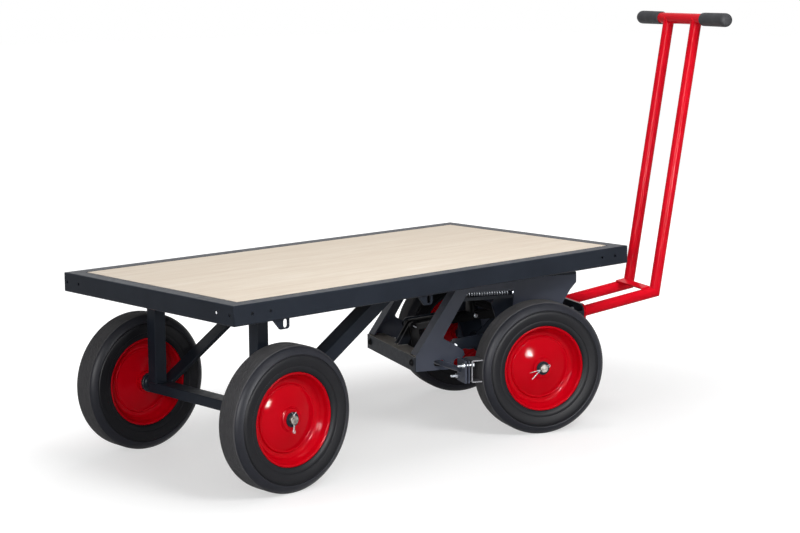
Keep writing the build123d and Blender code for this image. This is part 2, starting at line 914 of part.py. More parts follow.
# Brake: rocker with its strut, bar through the slots, channel-section shoes
arm_end = 212
arm_under = lift_bar_z + lift_bar_radius + 2
arm_height = 26
arm_bolt = (50, 311)
arm_radius = 12
rocker_hub = 13
finger_inside = 11
ear_rear = 36
ear_front = 50
ear_top = 366
strut_radius = 12.5
strut_start = (48, 357)
strut_end = (172, 307)
fork_radius = 15
with BuildPart() as rocker:
    for side in (1, -1):
        arm_plane = side_view(bogie, side * rocker_outside)
        for end, radius in ((arm_bolt, arm_radius), ((brake_bar_x, brake_bar_z), fork_radius)):
            with BuildSketch(arm_plane):
                with BuildLine():
                    CenterArc((pivot_x, pivot_z), rocker_hub, 0, 360)
                    CenterArc(end, radius, 0, 360)
                make_hull()
                with Locations((pivot_x, pivot_z)):
                    Circle(pivot_radius + fit, mode=Mode.SUBTRACT)
            extrude(amount=side * (rocker_outside - rocker_inside))
        with BuildSketch(arm_plane):
            with Locations((brake_bar_x, brake_bar_z)):
                Circle(brake_bar_radius + fit)
        extrude(amount=side * (rocker_outside - rocker_inside), mode=Mode.SUBTRACT)
        with BuildSketch(side_view(bogie, side * rocker_inside)):
            with BuildLine():
                CenterArc(arm_bolt, arm_radius, 0, 360)
                Line((arm_end, arm_under), (arm_end, arm_under + arm_height))
            make_hull()
        extrude(amount=side * (rocker_inside - finger_inside))
    with BuildSketch(side_view(bogie, rocker_inside)):
        with Locations(((ear_rear + ear_front) / 2, (arm_bolt[1] + ear_top) / 2)):
            Rectangle(ear_front - ear_rear, ear_top - arm_bolt[1])
    extrude(amount=2 * rocker_inside)
    strut_way = bogie_way(strut_start, strut_end)
    with BuildSketch(Plane(bogie_point(*strut_start, 0), z_dir=strut_way)):
        Circle(strut_radius)
        Circle(strut_radius - handle_wall, mode=Mode.SUBTRACT)
    extrude(amount=strut_way.length)
write(rocker, "brake_rocker")

bar_bend_y = 185
bar_bend_radius = 60
bar_end_y = front_track / 2 - 6
bar_end_x = shoe_back - end_stack
plate_half = shoe_length / 2
shoe_middle = (shoe_bottom + shoe_top) / 2
shoe_middles = ((front_track / 2, shoe_middle), (-front_track / 2, shoe_middle))
packing_back = 9.5
packing_sheet = 4
packing_block = (36, 28)
shoe_bolt_spread = 25
shoe_bolt_rise = 20
shoe_bolt = 8
shoe_bolt_places = [
    (side * (front_track / 2 + end * shoe_bolt_spread), shoe_middle + end * shoe_bolt_rise)
    for name, side in sides
    for end in (1, -1)
]
with BuildPart() as brake_bar:
    with BuildLine(plan_view(bogie, brake_bar_z)) as bar_path:
        FilletPolyline(
            (bar_end_x, -bar_end_y),
            (brake_bar_x, -bar_bend_y),
            (brake_bar_x, bar_bend_y),
            (bar_end_x, bar_end_y),
            radius=bar_bend_radius,
        )
    with BuildSketch(Plane(bar_path.line @ 0, z_dir=bar_path.line % 0)):
        Circle(brake_bar_radius)
    sweep()
    for back, sheet in ((shoe_back - end_stack, end_plate), (shoe_back - packing_back, packing_sheet)):
        with BuildSketch(rear_view(bogie, back)):
            with Locations(*shoe_middles):
                Rectangle(shoe_length, shoe_top - shoe_bottom)
            with Locations(*shoe_bolt_places):
                Circle(shoe_bolt / 2 + bolt_clearance, mode=Mode.SUBTRACT)
        extrude(amount=sheet)
    with BuildSketch(rear_view(bogie, shoe_back - end_stack)):
        with Locations(*shoe_middles):
            Rectangle(*packing_block)
    extrude(amount=end_stack)
    with BuildSketch(rear_view(bogie, shoe_back)):
        with Locations(*shoe_middles):
            Rectangle(2 * shoe_length, shoe_top - shoe_bottom)
    extrude(amount=2 * brake_bar_radius, mode=Mode.SUBTRACT)
write(brake_bar, "brake_bar")

shoe_sheet = 4
shoe_front = -64
with BuildPart() as shoes:
    for name, side in sides:
        with BuildSketch(side_view(bogie, side * front_track / 2 + plate_half)):
            with BuildLine():
                FilletPolyline(
                    (shoe_front, shoe_bottom + shoe_sheet / 2),
                    (shoe_back + shoe_sheet / 2, shoe_bottom + shoe_sheet / 2),
                    (shoe_back + shoe_sheet / 2, shoe_top - shoe_sheet / 2),
                    (shoe_front, shoe_top - shoe_sheet / 2),
                    radius=shoe_sheet,
                )
            trace(line_width=shoe_sheet)
            with Locations((front_axle_x, axle_height)):
                Circle(wheel_radius + shoe_gap, mode=Mode.SUBTRACT)
        extrude(amount=shoe_length)
    with BuildSketch(rear_view(bogie, shoe_back)):
        with Locations(*shoe_bolt_places):
            Circle(shoe_bolt / 2 + bolt_clearance)
    extrude(amount=shoe_sheet, mode=Mode.SUBTRACT)
write(shoes, "brake_shoes")
shoe_bolt_tail = 22
cross_bolts(
    "brake_shoe_bolts",
    shoe_bolt_places,
    shoe_back + shoe_sheet,
    shoe_back - end_stack,
    shoe_bolt,
    shoe_bolt_tail,
)


# Return springs: one wire with a hook round each peg, wound as a chain of half turns
def two_arcs(start, start_way, end, end_way):
    chord = end - start
    ways = start_way + end_way
    a = ways.dot(ways) - 4
    b = -2 * chord.dot(ways)
    reach = (-b - sqrt(b * b - 4 * a * chord.dot(chord))) / (2 * a)
    start_tip = start + start_way * reach
    end_tip = end - end_way * reach
    joint = (start_tip + end_tip) * 0.5
    TangentArc(start, joint, tangent=start_way)
    TangentArc(joint, end, tangent=end_tip - joint)


def hook_point(peg, axis_way, degrees_up):
    angle = radians(degrees_up)
    return peg + axis_way * (hook_radius * cos(angle)) + bogie.z_dir * (hook_radius * sin(angle))


def coil_place(coil, pitch, turn):
    angle = 2 * pi * turn
    local = (spring_radius * cos(angle), spring_radius * sin(angle), pitch * turn)
    return coil.from_local_coords(local)


def coil_way(coil, pitch, turn):
    angle = 2 * pi * turn
    across = coil.x_dir * (-spring_radius * sin(angle)) + coil.y_dir * (spring_radius * cos(angle))
    return (across * (2 * pi) + coil.z_dir * pitch).normalized()


hook_gap = 0.6
hook_radius = peg_radius + hook_gap + spring_wire / 2
hook_open = -60
coil_start = 0.25
coil_lead = 15
wire_sides = 6
for name, side in sides:
    rear_peg = bogie_point(*spring_rear, side * spring_y)
    front_peg = bogie_point(*spring_front, side * spring_y)
    span = front_peg - rear_peg
    axis_way = span.normalized()
    pitch = (span.length - 2 * coil_lead) / spring_turns
    coil_origin = rear_peg + axis_way * (coil_lead - pitch * coil_start)
    coil = Plane(coil_origin, x_dir=bogie.y_dir, z_dir=axis_way)
    half_turns = [coil_start + k / 2 for k in range(2 * spring_turns + 1)]
    with BuildPart() as spring:
        with BuildLine() as wire_line:
            hook_top = hook_point(rear_peg, axis_way, 90)
            ThreePointArc(
                hook_point(rear_peg, axis_way, hook_open),
                hook_point(rear_peg, axis_way, 180),
                hook_top,
            )
            first = half_turns[0]
            two_arcs(hook_top, axis_way, coil_place(coil, pitch, first), coil_way(coil, pitch, first))
            for turn in half_turns[:-1]:
                two_arcs(
                    coil_place(coil, pitch, turn),
                    coil_way(coil, pitch, turn),
                    coil_place(coil, pitch, turn + 0.5),
                    coil_way(coil, pitch, turn + 0.5),
                )
            last = half_turns[-1]
            hook_top = hook_point(front_peg, axis_way, 90)
            two_arcs(coil_place(coil, pitch, last), coil_way(coil, pitch, last), hook_top, axis_way)
            ThreePointArc(
                hook_top,
                hook_point(front_peg, axis_way, 0),
                hook_point(front_peg, axis_way, 180 - hook_open),
            )
        wire = wire_line.wire()
        with BuildSketch(Plane(wire @ 0, z_dir=wire % 0)):
            RegularPolygon(spring_wire / 2, wire_sides)
        sweep()
    write(spring, f"return_spring_{name}")

    # Least gap of the wire to itself, between points more than two wires apart along it
    steps_per_turn = 24
    count = steps_per_turn * (spring_turns + 4)
    step = wire.length / count
    points = [wire @ (k / count) for k in range(count + 1)]
    skip = int(3 * spring_wire / step) + 1
    gaps = [
        (points[i] - points[j]).length - spring_wire
        for i in range(count + 1)
        for j in range(i + skip, min(i + 3 * steps_per_turn, count + 1))
    ]
    print(f"return_spring_{name}: least gap of the wire to itself {min(gaps):.2f} mm")
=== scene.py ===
import json
from math import cos, pi, radians, sin

import bpy
from mathutils import Matrix, Vector

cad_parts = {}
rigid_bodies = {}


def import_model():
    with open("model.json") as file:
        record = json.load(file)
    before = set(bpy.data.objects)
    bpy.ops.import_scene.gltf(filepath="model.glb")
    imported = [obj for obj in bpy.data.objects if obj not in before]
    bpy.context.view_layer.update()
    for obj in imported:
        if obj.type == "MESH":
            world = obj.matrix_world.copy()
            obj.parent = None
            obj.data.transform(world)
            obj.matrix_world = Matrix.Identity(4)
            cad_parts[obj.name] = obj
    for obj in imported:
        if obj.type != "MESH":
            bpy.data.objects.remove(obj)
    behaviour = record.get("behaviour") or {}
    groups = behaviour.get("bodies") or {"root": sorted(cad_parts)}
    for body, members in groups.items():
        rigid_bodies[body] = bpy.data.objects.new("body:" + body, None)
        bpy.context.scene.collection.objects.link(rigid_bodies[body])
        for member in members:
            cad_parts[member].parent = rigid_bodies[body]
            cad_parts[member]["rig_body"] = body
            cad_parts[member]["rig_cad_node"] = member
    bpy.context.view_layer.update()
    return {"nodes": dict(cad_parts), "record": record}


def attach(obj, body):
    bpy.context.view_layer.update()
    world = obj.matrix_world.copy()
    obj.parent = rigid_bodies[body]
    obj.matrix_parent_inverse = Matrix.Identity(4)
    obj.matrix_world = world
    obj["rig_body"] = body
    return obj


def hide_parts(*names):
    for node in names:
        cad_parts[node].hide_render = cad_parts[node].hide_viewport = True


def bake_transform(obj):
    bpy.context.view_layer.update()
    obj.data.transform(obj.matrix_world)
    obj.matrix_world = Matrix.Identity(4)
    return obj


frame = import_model()
nodes = frame["nodes"]
slot_of = {part["node"]: part["material_slot"] for part in frame["record"]["subparts"]}

# The truck stands as in the CAD: its deck's rear edge and centreline, the bogie turned under its
# kingpin. These places are in metres.
DECK_REAR = (-1.0096699, 0.0802174, 0)
KINGPIN = (1.1558, 0, 0)
STEER_ANGLE = radians(-21.5)
BOGIE_LEAD = (0.0217, 0, 0)
TRUCK = Matrix.Translation(DECK_REAR)
BOGIE = (
    TRUCK
    @ Matrix.Translation(KINGPIN)
    @ Matrix.Rotation(STEER_ANGLE, 4, "Z")
    @ Matrix.Translation(BOGIE_LEAD)
)

# Measures in millimetres. A pair is (along the truck or bogie, up), a triple is (along, out, up).
MM = 0.001
REAR_AXLE = (212.5, 200)
FRONT_AXLE = (129.7, 200)
REAR_TRACK = 665
FRONT_TRACK = 634
SPRING_REAR = (-76, 412.5)
SPRING_FRONT = (105, 408)
SPRING_OUT = 184
HANDLE_START = (392.5, 311.6)
HANDLE_CORNER = (647.8, 357)
HANDLE_TOP = (783.6, 1220.6)
HANDLE_GAUGE = 87
HANDLE_TUBE = 17.5
BASE_PLATE = 393.5
SHOE_PLATE = -124
SHOE_MIDDLE = 207.75
CHANNEL_BOLT = (-226.5, 176.5, 213)
ROCKER_BOLT = (50, 26, 311)
TIE_BAR_BOLT = (-92, 198, 257.5)
SPRING_PEG_CAP = (SPRING_FRONT[0], SPRING_OUT + 8, SPRING_FRONT[1])
PIVOT_PIN_END = (-157.5, 31.6, 293)
POST_FOOT = (203.5, 234.5, 211.8)
SIDES = (("left", 1), ("right", -1))
AXLES = {
    "rear": (TRUCK, "chassis", REAR_AXLE, REAR_TRACK),
    "front": (BOGIE, "bogie", FRONT_AXLE, FRONT_TRACK),
}


def place_at(along, out, up):
    return Matrix.Translation(Vector((along, out, up)) * MM)


# A half turn for what looks to the right
def facing(side):
    return Matrix.Rotation(0 if side > 0 else pi, 4, "Z")


def ring(step):
    return [(cos(radians(angle)), sin(radians(angle))) for angle in range(0, 360, step)]


# Finishes
WHITE = (1, 1, 1)
NOISE_REACH = (0.3, 0.7)


def grey(level):
    return (level, level, level)


def new_finish(name):
    material = bpy.data.materials.new(name)
    material.use_nodes = True
    return material, material.node_tree, material.node_tree.nodes["Principled BSDF"]


def noise(tree, scale, detail, roughness=0.5, stretch=(1, 1, 1)):
    place = tree.nodes.new("ShaderNodeTexCoord")
    mapping = tree.nodes.new("ShaderNodeMapping")
    mapping.inputs["Scale"].default_value = stretch
    texture = tree.nodes.new("ShaderNodeTexNoise")
    texture.inputs["Scale"].default_value = scale
    texture.inputs["Detail"].default_value = detail
    texture.inputs["Roughness"].default_value = roughness
    tree.links.new(place.outputs["Object"], mapping.inputs["Vector"])
    tree.links.new(mapping.outputs["Vector"], texture.inputs["Vector"])
    return texture.outputs["Fac"]


def tint(tree, factor, stops):
    ramp = tree.nodes.new("ShaderNodeValToRGB")
    while len(ramp.color_ramp.elements) < len(stops):
        ramp.color_ramp.elements.new(0.5)
    for element, (position, colour) in zip(ramp.color_ramp.elements, stops):
        element.position = position
        element.color = (*colour, 1)
    tree.links.new(factor, ramp.inputs["Fac"])
    return ramp.outputs["Color"]


def spread(tree, value, source, target=(0, 1), smooth=False):
    reach = tree.nodes.new("ShaderNodeMapRange")
    if smooth:
        reach.interpolation_type = "SMOOTHSTEP"
    for socket, limit in zip(("From Min", "From Max", "To Min", "To Max"), (*source, *target)):
        reach.inputs[socket].default_value = limit
    tree.links.new(value, reach.inputs["Value"])
    return reach.outputs["Result"]


def combined(tree, operation, first, second):
    sum_node = tree.nodes.new("ShaderNodeMath")
    sum_node.operation = operation
    tree.links.new(first, sum_node.inputs[0])
    tree.links.new(second, sum_node.inputs[1])
    return sum_node.outputs["Value"]


def shaded(tree, factor, ground, shade):
    mix = tree.nodes.new("ShaderNodeMix")
    mix.data_type = "RGBA"
    mix.blend_type = "MULTIPLY"
    mix.inputs["Factor"].default_value = factor
    tree.links.new(ground, mix.inputs["A"])
    tree.links.new(shade, mix.inputs["B"])
    return mix.outputs["Result"]


def relief(tree, shader, height, strength, depth):
    bump = tree.nodes.new("ShaderNodeBump")
    bump.inputs["Strength"].default_value = strength
    bump.inputs["Distance"].default_value = depth
    tree.links.new(height, bump.inputs["Height"])
    tree.links.new(bump.outputs["Normal"], shader.inputs["Normal"])


def dress(tree, shader, colour, roughness):
    tree.links.new(colour, shader.inputs["Base Color"])
    tree.links.new(roughness, shader.inputs["Roughness"])


def powder_coat(name, dark, light, roughness, specular):
    material, tree, shader = new_finish(name)
    colour = tint(tree, noise(tree, scale=9, detail=3), ((0.35, dark), (0.65, light)))
    orange_peel = noise(tree, scale=60, detail=5)
    dress(tree, shader, colour, spread(tree, orange_peel, NOISE_REACH, roughness))
    relief(tree, shader, noise(tree, scale=1400, detail=2), strength=0.1, depth=0.0004)
    shader.inputs["Specular IOR Level"].default_value = specular
    return material


# The rear channel: coat on its web; the ledge at its top painted pale as painted light, with the
# web's top edge lightened into it as a painted highlight; the lugs above it painted near black as
# painted shade
def channel_painted_light_and_shade():
    material, tree, shader = new_finish("channel_painted_light_and_shade")
    place = tree.nodes.new("ShaderNodeTexCoord")
    split = tree.nodes.new("ShaderNodeSeparateXYZ")
    tree.links.new(place.outputs["Object"], split.inputs["Vector"])
    under_ledge, lugs = 0.2315, 0.2715
    height = spread(tree, split.outputs["Z"], (under_ledge, lugs))
    coat = (0.021, 0.025, 0.034)
    # Painted shade on the lugs, painted light on the ledge
    dark = (0.006, 0.006, 0.007)
    ledge_painted_light = (0.33, 0.32, 0.31)
    zones = ((0.05, coat), (0.0725, ledge_painted_light), (0.1, ledge_painted_light), (0.15, coat), (0.6, coat), (0.9, dark))
    specks = noise(tree, scale=40, detail=6, roughness=0.6)
    dust = tint(tree, specks, ((0.3, grey(0.8)), (0.7, WHITE)))
    colour = shaded(tree, 0.8, tint(tree, height, zones), dust)
    orange_peel = noise(tree, scale=60, detail=5)
    dress(tree, shader, colour, spread(tree, orange_peel, NOISE_REACH, (0.4, 0.5)))
    shader.inputs["Specular IOR Level"].default_value = 0.05
    return material


def plywood_face():
    material, tree, shader = new_finish("birch_plywood")
    figure = noise(tree, scale=7, detail=6, roughness=0.6, stretch=(0.35, 3.2, 1))
    fibre = noise(tree, scale=240, detail=4, roughness=0.6, stretch=(0.04, 1, 1))
    pale, mid, deep = (0.83, 0.75, 0.65), (0.79, 0.70, 0.59), (0.75, 0.65, 0.54)
    broad = tint(tree, figure, ((0.3, deep), (0.55, mid), (0.75, pale)))
    lines = tint(tree, fibre, ((0.38, (0.86, 0.82, 0.78)), (0.55, WHITE)))
    colour = shaded(tree, 0.45, broad, lines)
    dress(tree, shader, colour, spread(tree, fibre, NOISE_REACH, (0.58, 0.74)))
    relief(tree, shader, fibre, strength=0.15, depth=0.0003)
    shader.inputs["Specular IOR Level"].default_value = 0.06
    return material


def grip_finish():
    material, tree, shader = new_finish("grip_rubber")
    dark, light = (0.034, 0.035, 0.039), (0.042, 0.043, 0.048)
    bloom = noise(tree, scale=14, detail=5, roughness=0.6)
    colour = tint(tree, bloom, ((0.35, dark), (0.7, light)))
    wear = noise(tree, scale=45, detail=5)
    dress(tree, shader, colour, spread(tree, wear, NOISE_REACH, (0.6, 0.75)))
    relief(tree, shader, noise(tree, scale=900, detail=3), strength=0.2, depth=0.0004)
    shader.inputs["Specular IOR Level"].default_value = 0.2
    return material


# Tyre: dark wall, a shoulder painted lighter and bluish as painted sheen, dusty tread, told apart
# by the zone painted on the mesh
WALL, SHOULDER, TREAD = 0, 0.5, 1


def tyre_finish():
    material, tree, shader = new_finish("tyre_rubber")
    zone = tree.nodes.new("ShaderNodeAttribute")
    zone.attribute_name = "zone"
    wall, shoulder_painted_sheen, tread = (0.010, 0.0102, 0.0128), (0.023, 0.024, 0.031), (0.068, 0.067, 0.071)
    zones = ((WALL, wall), (SHOULDER, shoulder_painted_sheen), (TREAD, tread))
    ground = tint(tree, zone.outputs["Fac"], zones)
    specks = noise(tree, scale=26, detail=7, roughness=0.7)
    dust = tint(tree, specks, ((0.35, grey(0.78)), (0.65, WHITE)))
    matt_zones = ((WALL, grey(0.44)), (SHOULDER, grey(0.42)), (TREAD, grey(0.75)))
    sheen = tint(tree, zone.outputs["Fac"], matt_zones)
    dress(tree, shader, shaded(tree, 0.8, ground, dust), sheen)
    grain = noise(tree, scale=700, detail=4, roughness=0.6)
    relief(tree, shader, grain, strength=0.3, depth=0.0005)
    shader.inputs["Specular IOR Level"].default_value = 0.085
    return material


def metal(name, dark, light, roughness, scale):
    material, tree, shader = new_finish(name)
    spangle = noise(tree, scale, detail=5, roughness=0.6)
    colour = tint(tree, spangle, ((0.35, dark), (0.65, light)))
    dress(tree, shader, colour, spread(tree, spangle, NOISE_REACH, roughness))
    relief(tree, shader, spangle, strength=0.08, depth=0.0002)
    shader.inputs["Metallic"].default_value = 1
    return material


anthracite = powder_coat(
    "anthracite_coat",
    dark=(0.0135, 0.0172, 0.0255),
    light=(0.0170, 0.0218, 0.0315),
    roughness=(0.3, 0.4),
    specular=0.055,
)
# Painted light: the anthracite coat made lighter for the bogie's side plates and the brake bar, as
# the sheen they catch
plate_coat_painted_lighter = powder_coat(
    "plate_coat_painted_lighter",
    dark=(0.054, 0.061, 0.086),
    light=(0.063, 0.071, 0.098),
    roughness=(0.3, 0.4),
    specular=0.06,
)
signal_red = powder_coat(
    "signal_red_coat",
    dark=(0.50, 0.0005, 0.0065),
    light=(0.54, 0.001, 0.0085),
    roughness=(0.05, 0.08),
    specular=0.036,
)
# Painted light: the red coat made lighter for the handle, as the stronger light it gets higher up
handle_red_painted_lighter = powder_coat(
    "red_coat_painted_lighter",
    dark=(0.66, 0.004, 0.014),
    light=(0.72, 0.006, 0.019),
    roughness=(0.12, 0.17),
    specular=0.022,
)
# The black coat: the channel bolts' own black, and painted shade on the brake rocker
black_coat_and_painted_shade = powder_coat(
    "black_bolts",
    dark=(0.006, 0.006, 0.007),
    light=(0.011, 0.011, 0.012),
    roughness=(0.4, 0.5),
    specular=0.05,
)
zinc = metal(
    "zinc_plate",
    dark=(0.32, 0.34, 0.37),
    light=(0.50, 0.52, 0.55),
    roughness=(0.28, 0.42),
    scale=160,
)
pin_wire = metal(
    "pin_wire",
    dark=(0.17, 0.17, 0.175),
    light=(0.27, 0.27, 0.28),
    roughness=(0.38, 0.5),
    scale=160,
)
spring_wire = metal(
    "spring_wire",
    dark=(0.14, 0.15, 0.165),
    light=(0.22, 0.23, 0.25),
    roughness=(0.46, 0.56),
    scale=160,
)
dull_zinc = metal(
    "dull_zinc",
    dark=(0.06, 0.06, 0.065),
    light=(0.11, 0.11, 0.115),
    roughness=(0.5, 0.62),
    scale=120,
)
bare_steel = metal(
    "turned_steel",
    dark=(0.08, 0.07, 0.06),
    light=(0.22, 0.21, 0.20),
    roughness=(0.4, 0.55),
    scale=120,
)
stained_steel = metal(
    "stained_steel",
    dark=(0.045, 0.038, 0.032),
    light=(0.19, 0.18, 0.165),
    roughness=(0.42, 0.58),
    scale=130,
)
finishes = {
    "plywood": plywood_face(),
    "frame_paint": anthracite,
    "red_paint": signal_red,
    "tyre_rubber": tyre_finish(),
    "grip_rubber": grip_finish(),
    "zinc": zinc,
    "bare_steel": bare_steel,
    "black_bolts": black_coat_and_painted_shade,
}
for name, cad_node in nodes.items():
    cad_node.data.materials.clear()
    cad_node.data.materials.append(finishes[slot_of[name]])

# Modelling by hand: one piece in edit mode at a time, everything else deselected.
# Points closer than these distances, in metres, are merged.
CAD_MERGE = 0.000002
TURNED_MERGE = 0.00001
WIRE_MERGE = 0.000001
MITRE_MERGE = 0.00005
SMOOTH_ANGLE = radians(35)
FLAT_ANGLE = radians(0.5)
EDGE_ANGLE = radians(40)


def edit_piece(name):
    piece = bpy.context.object
    piece.name = name
    piece.data.name = name
    bpy.ops.object.mode_set(mode="EDIT")
    bpy.ops.mesh.select_all(action="SELECT")
    return piece


def pick(piece):
    if bpy.context.mode != "OBJECT":
        bpy.ops.object.mode_set(mode="OBJECT")
    bpy.ops.object.select_all(action="DESELECT")
    piece.select_set(True)
    bpy.context.view_layer.objects.active = piece


# Doubles merged and faces turned outwards on the piece in edit mode, which is then left
def close_up(distance):
    bpy.ops.mesh.select_all(action="SELECT")
    bpy.ops.mesh.remove_doubles(threshold=distance)
    bpy.ops.mesh.normals_make_consistent(inside=False)
    bpy.ops.object.mode_set(mode="OBJECT")


def finish_piece(piece, place, body, slot, look=None):
    pick(piece)
    piece.matrix_world = place @ piece.matrix_world
    bpy.ops.object.transform_apply(location=True, rotation=True, scale=True)
    bpy.ops.object.shade_smooth_by_angle(angle=SMOOTH_ANGLE)
    piece.data.materials.clear()
    piece.data.materials.append(look or finishes[slot])
    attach(piece, body)


def copy_of(piece, name):
    pick(piece)
    bpy.ops.object.duplicate(linked=False)
    twin = bpy.context.object
    twin.name = name
    twin.data.name = name
    return twin


def join(name, first, *others):
    pick(first)
    for other in others:
        other.select_set(True)
    bpy.ops.object.join()
    first.name = name
    first.data.name = name
    return first


def apply_modifier(piece, kind, **settings):
    pick(piece)
    modifier = piece.modifiers.new(kind, kind)
    for key, value in settings.items():
        setattr(modifier, key, value)
    bpy.ops.object.modifier_apply(modifier=modifier.name)


# A single vertex pulled along a line of points
def draw_line(name, points, closed):
    bpy.ops.object.select_all(action="DESELECT")
    bpy.ops.mesh.primitive_plane_add(size=MM, location=(0, 0, 0))
    piece = edit_piece(name)
    bpy.ops.mesh.merge(type="CENTER")
    bpy.ops.transform.translate(value=points[0])
    for start, end in zip(points, points[1:]):
        step = Vector(end) - Vector(start)
        bpy.ops.mesh.extrude_vertices_move(TRANSFORM_OT_translate={"value": step})
    if closed:
        bpy.ops.mesh.select_all(action="DESELECT")
        bpy.ops.object.mode_set(mode="OBJECT")
        piece.data.vertices[0].select = True
        piece.data.vertices[len(points) - 1].select = True
        bpy.ops.object.mode_set(mode="EDIT")
        bpy.ops.mesh.edge_face_add()
    return piece


# An outline of (radius, distance along the axle) in millimetres, turned round the axle
def turn(name, outline, steps, closed=True):
    points = [(0, along * MM, radius * MM) for radius, along in outline]
    piece = draw_line(name, points, closed)
    bpy.ops.mesh.select_all(action="SELECT")
    bpy.ops.mesh.spin(steps=steps, angle=2 * pi, center=(0, 0, 0), axis=(0, 1, 0))
    close_up(TURNED_MERGE)
    return piece


def turn_sheet(name, outline, thickness):
    piece = turn(name, outline, steps=96, closed=False)
    apply_modifier(piece, "SOLIDIFY", thickness=thickness * MM, offset=0)
    return piece


# A round wire or weld bead along points in millimetres, with a ripple where it is a weld
def draw_wire(name, points, radius, closed=False, ripple=0):
    piece = draw_line(name, [Vector(point) * MM for point in points], closed)
    bpy.ops.object.mode_set(mode="OBJECT")
    bpy.ops.object.convert(target="CURVE")
    curve = piece.data
    curve.bevel_depth = radius * MM
    curve.bevel_resolution = 2
    curve.use_fill_caps = not closed
    curve.resolution_u = 3
    spline = curve.splines[0]
    spline.type = "NURBS"
    spline.order_u = 3
    spline.use_endpoint_u = not closed
    for k, point in enumerate(spline.points):
        point.radius = 1 + ripple * (k % 2)
    bpy.ops.object.convert(target="MESH")
    piece = edit_piece(name)
    close_up(WIRE_MERGE)
    return piece


# A copy of a CAD node with its edges eased, as paint and grinding leave them
def ease(node, width):
    name = f"{node}-eased"
    cad_node = nodes[node]
    body = cad_node["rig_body"]
    piece = copy_of(cad_node, name)
    del piece["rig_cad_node"]
    del piece["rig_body"]
    piece.parent = None
    edit_piece(name)
    bpy.ops.mesh.remove_doubles(threshold=CAD_MERGE)
    bpy.ops.mesh.dissolve_limited(angle_limit=FLAT_ANGLE)
    bpy.ops.mesh.select_all(action="SELECT")
    bpy.ops.mesh.quads_convert_to_tris(ngon_method="BEAUTY")
    bpy.ops.object.mode_set(mode="OBJECT")
    if width:
        apply_modifier(
            piece,
            "BEVEL",
            width=width * MM,
            segments=2,
            limit_method="ANGLE",
            angle_limit=EDGE_ANGLE,
            loop_slide=False,
        )
    finish_piece(piece, Matrix(), body, slot_of[node], look=special_finish.get(node))
    apply_modifier(piece, "WEIGHTED_NORMAL", keep_sharp=True)
    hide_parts(node)


special_finish = {
    "brake_shoes": dull_zinc,
    "rear_stub_axles": stained_steel,
    "bogie_side_plate_left": plate_coat_painted_lighter,
    "bogie_side_plate_right": plate_coat_painted_lighter,
    "bogie_rear_channel": channel_painted_light_and_shade(),
    # Painted shade: the brake rocker inside the bogie takes the black coat to look as dark as its
    # shade
    "brake_rocker": black_coat_and_painted_shade,
    "brake_pivot_pin": black_coat_and_painted_shade,
    "brake_bar": plate_coat_painted_lighter,
    "handle_crossbar": handle_red_painted_lighter,
    "handle_brace_strip": handle_red_painted_lighter,
}
# Widths in millimetres; a piece with 0 keeps its square edges
eased_edges = {
    "deck_board": 0.6,
    "deck_rail_left": 0,
    "deck_rail_right": 0,
    "deck_rail_front": 0,
    "deck_rail_rear": 0,
    "rear_crossmember": 1.5,
    "middle_crossmember": 1.5,
    "turntable_crossmembers": 1.5,
    "slewing_ring_upper": 0.8,
    "slewing_ring_lower": 0.8,
    "rear_axle_beam": 2,
    "rear_post_left": 2,
    "rear_post_right": 2,
    "rear_brace_left": 0.8,
    "rear_brace_right": 0.8,
    "rear_stub_axles": 0.6,
    "rear_axle_washers": 0.4,
    "lashing_eyes": 1,
    "bogie_top_plate": 0.8,
    "bogie_side_plate_left": 0,
    "bogie_side_plate_right": 0,
    "bogie_rear_channel": 0.8,
    "front_axle": 0.6,
    "front_axle_washers": 0.4,
    "window_tie_bars": 0,
    "brake_pivot_pin": 0.6,
    "drawbar_sleeve": 0.6,
    "drawbar_cheeks": 0.8,
    "drawbar_web": 0.8,
    "spring_horns": 0.8,
    "brake_lift_bar": 0,
    "handle_base_plate": 0.8,
    "base_plate_bolts": 0.5,
    "handle_crossbar": 0,
    "handle_brace_strip": 0.8,
    "brake_rocker": 0,
    "brake_bar": 0.6,
    "brake_shoes": 0.6,
}
for node, width in eased_edges.items():
    ease(node, width)

# Wheels: the outer face looks along +Y before a wheel is set on its axle
GROOVE = 1.0
TREAD_RADIUS = 197
SHOULDER_RADIUS = 176


def groove(radius, along):
    floor = radius - GROOVE
    return [
        (radius, along - GROOVE),
        (floor, along - GROOVE / 3),
        (floor, along + GROOVE / 3),
        (radius, along + GROOVE),
    ]


def both_faces(outline):
    return outline + [(radius, -along) for radius, along in reversed(outline) if along]


tread_half = [(200, 0), *groove(200, 8), *groove(200, 16), *groove(199.9, 24)]
shoulder_half = [
    (199.6, 29.0),
    (199.0, 30.6),
    (197.9, 31.5),
    (196.4, 31.9),
    (195.9, 33.0),
    (194.6, 35.2),
    (190.6, 38.9),
    (185.4, 42.3),
    (180.4, 44.7),
    (178.0, 45.5),
]
wall_half = [
    (176.5, 45.0),
    (175.4, 43.4),
    (174.2, 43.4),
    (173.0, 45.0),
    (171.0, 45.9),
    (165.0, 46.0),
    (157.0, 45.2),
    (149.0, 43.6),
    (146.6, 43.1),
    (145.6, 42.0),
    (144.4, 42.0),
    (143.4, 42.3),
    (137.0, 40.6),
    (131.0, 38.6),
]
bead_half = [(129.0, 36.6), (128.9, 33.4), (124.6, 30.8), (122.8, 26.0), (121.6, 20.4)]
inside_half = [(131, 31), (170, 38), (189, 20)]
tyre_half = tread_half + shoulder_half + wall_half + bead_half + inside_half
